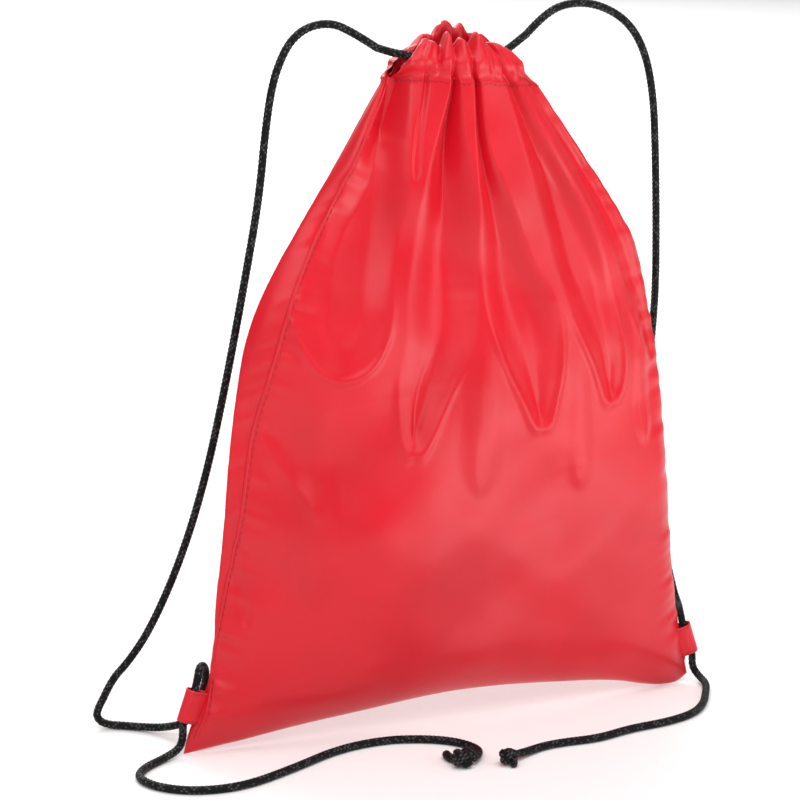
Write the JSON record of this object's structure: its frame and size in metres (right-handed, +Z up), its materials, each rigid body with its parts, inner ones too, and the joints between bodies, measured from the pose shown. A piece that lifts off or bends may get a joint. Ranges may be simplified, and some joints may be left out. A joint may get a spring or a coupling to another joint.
{
  "type": "drawstring backpack",
  "caption": "Light cloth sack with a gathered mouth, a cord sleeve round the top, corner loops and two cord strands that close it and serve as shoulder straps.",
  "frame": {"origin": "middle of the sack's base, on the surface it stands on", "axes": "+Z up towards the mouth, +Y towards the back, +X towards the sack's right side"},
  "size_m": [0.3728, 0.1577, 0.4182],
  "materials": {
    "sack_cloth": "satin woven polyester",
    "sleeve_cloth": "satin woven polyester, gathered",
    "seam_cloth": "satin woven polyester, sewn edge",
    "tab_cloth": "folded woven tape",
    "thread": "twisted thread",
    "cord": "braided polyester"
  },
  "bodies": {
    "sack": {"front_panel": "sack_cloth", "back_panel": "sack_cloth", "left_side_seam": "seam_cloth", "right_side_seam": "seam_cloth", "left_seam_stitching": "thread", "right_seam_stitching": "thread", "front_cord_channel": "sleeve_cloth", "back_cord_channel": "sleeve_cloth", "front_channel_stitching": "thread", "back_channel_stitching": "thread", "left_corner_tab": "tab_cloth", "right_corner_tab": "tab_cloth", "left_tab_stitching": "thread", "right_tab_stitching": "thread", "front_channel_cord": "cord", "back_channel_cord": "cord", "left_tab_cord": "cord", "right_tab_cord": "cord"},
    "left_shoulder": {"left_shoulder_cord": "cord"},
    "right_shoulder": {"right_shoulder_cord": "cord"},
    "left_tail": {"left_tail_cord": "cord", "left_tail_knot": "cord"},
    "right_tail": {"right_tail_cord": "cord", "right_tail_knot": "cord"}
  },
  "joints": [
    {"name": "left_shoulder_swing", "type": "hinge", "parent": "sack", "child": "left_shoulder", "pos_m": [-0.044, 0, 0.392], "axis": [-0.3692, 0.1472, -0.9176], "range_deg": [0, 80]},
    {"name": "right_shoulder_swing", "type": "hinge", "parent": "sack", "child": "right_shoulder", "pos_m": [0.044, 0, 0.397], "axis": [0.327, 0.0557, -0.9434], "range_deg": [0, 70]},
    {"name": "left_tail_sweep", "type": "hinge", "parent": "sack", "child": "left_tail", "pos_m": [-0.1654, 0, 0.014], "axis": [0, 0, -1], "range_deg": [0, 90]},
    {"name": "right_tail_sweep", "type": "hinge", "parent": "sack", "child": "right_tail", "pos_m": [0.1654, 0, 0.014], "axis": [0, 0, 1], "range_deg": [0, 90]}
  ]
}
